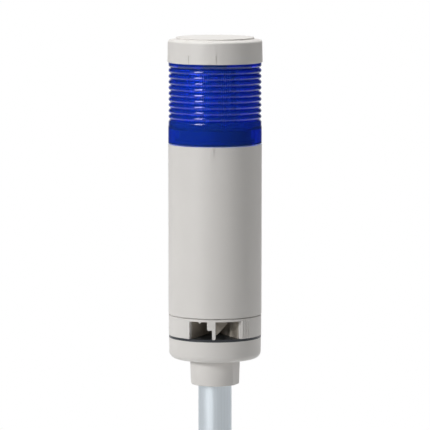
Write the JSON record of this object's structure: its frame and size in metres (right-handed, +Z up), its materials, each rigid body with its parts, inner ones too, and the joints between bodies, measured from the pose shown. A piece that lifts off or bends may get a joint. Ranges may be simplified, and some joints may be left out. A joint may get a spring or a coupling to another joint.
{
  "type": "stack light",
  "caption": "Tower signal light on a round pole: tall pale tube with a ribbed blue lens under a twist-off cap, and a sounder with a turning volume ring at its foot.",
  "frame": {"origin": "centre of the pole's lower end", "axes": "+Z up along the pole and the head, front with the sound window and the index marks at -Y"},
  "size_m": [0.0568, 0.0572, 0.3087],
  "materials": {
    "ivory_plastic": "satin moulded",
    "inner_plastic": "moulded",
    "blue_lens": "clear tinted, polished",
    "aluminium_pole": "satin anodised",
    "black_rubber": "matt",
    "black_plastic": "moulded",
    "steel_hardware": "zinc plated",
    "brass_contact": "bright",
    "green_board": "solder mask",
    "lamp_chip": "clear resin"
  },
  "bodies": {
    "base": {"pole": "aluminium_pole", "pole_washer": "steel_hardware", "pole_nut": "steel_hardware", "base_cup": "ivory_plastic", "base_screws": "steel_hardware", "base_gasket": "black_rubber", "sound_chamber": "inner_plastic", "sounder_case": "black_plastic", "sounder_disc": "brass_contact", "sounder_cover": "black_plastic", "sounder_leads": "brass_contact", "body_tube": "ivory_plastic", "driver_board": "green_board", "board_pins": "brass_contact", "terminal_block": "black_plastic", "terminal_screws": "steel_hardware", "filter_capacitors": "black_plastic", "power_coil": "black_plastic", "flasher_chip": "black_plastic", "contact_plate": "inner_plastic", "contact_springs": "brass_contact"},
    "ring": {"volume_ring": "ivory_plastic"},
    "lens_module": {"lens": "blue_lens", "lens_gasket": "black_rubber", "cap_gasket": "black_rubber", "led_holder": "inner_plastic", "contact_rings": "brass_contact", "led_base_board": "green_board", "led_top_board": "green_board", "led_board_front": "green_board", "led_board_right": "green_board", "led_board_back": "green_board", "led_board_left": "green_board", "leds": "lamp_chip"},
    "cap": {"head_cap": "ivory_plastic"}
  },
  "joints": [
    {"name": "ring_turn", "type": "hinge", "parent": "base", "child": "ring", "pos_m": [0, 0, 0.136], "axis": [0, 0, -1], "range_deg": [0, 70]},
    {"name": "lens_twist", "type": "hinge", "parent": "base", "child": "lens_module", "pos_m": [0, 0, 0.245], "axis": [0, 0, 1], "range_deg": [0, 30]},
    {"name": "cap_twist", "type": "hinge", "parent": "lens_module", "child": "cap", "pos_m": [0, 0, 0.2937], "axis": [0, 0, 1], "range_deg": [0, 30]}
  ]
}
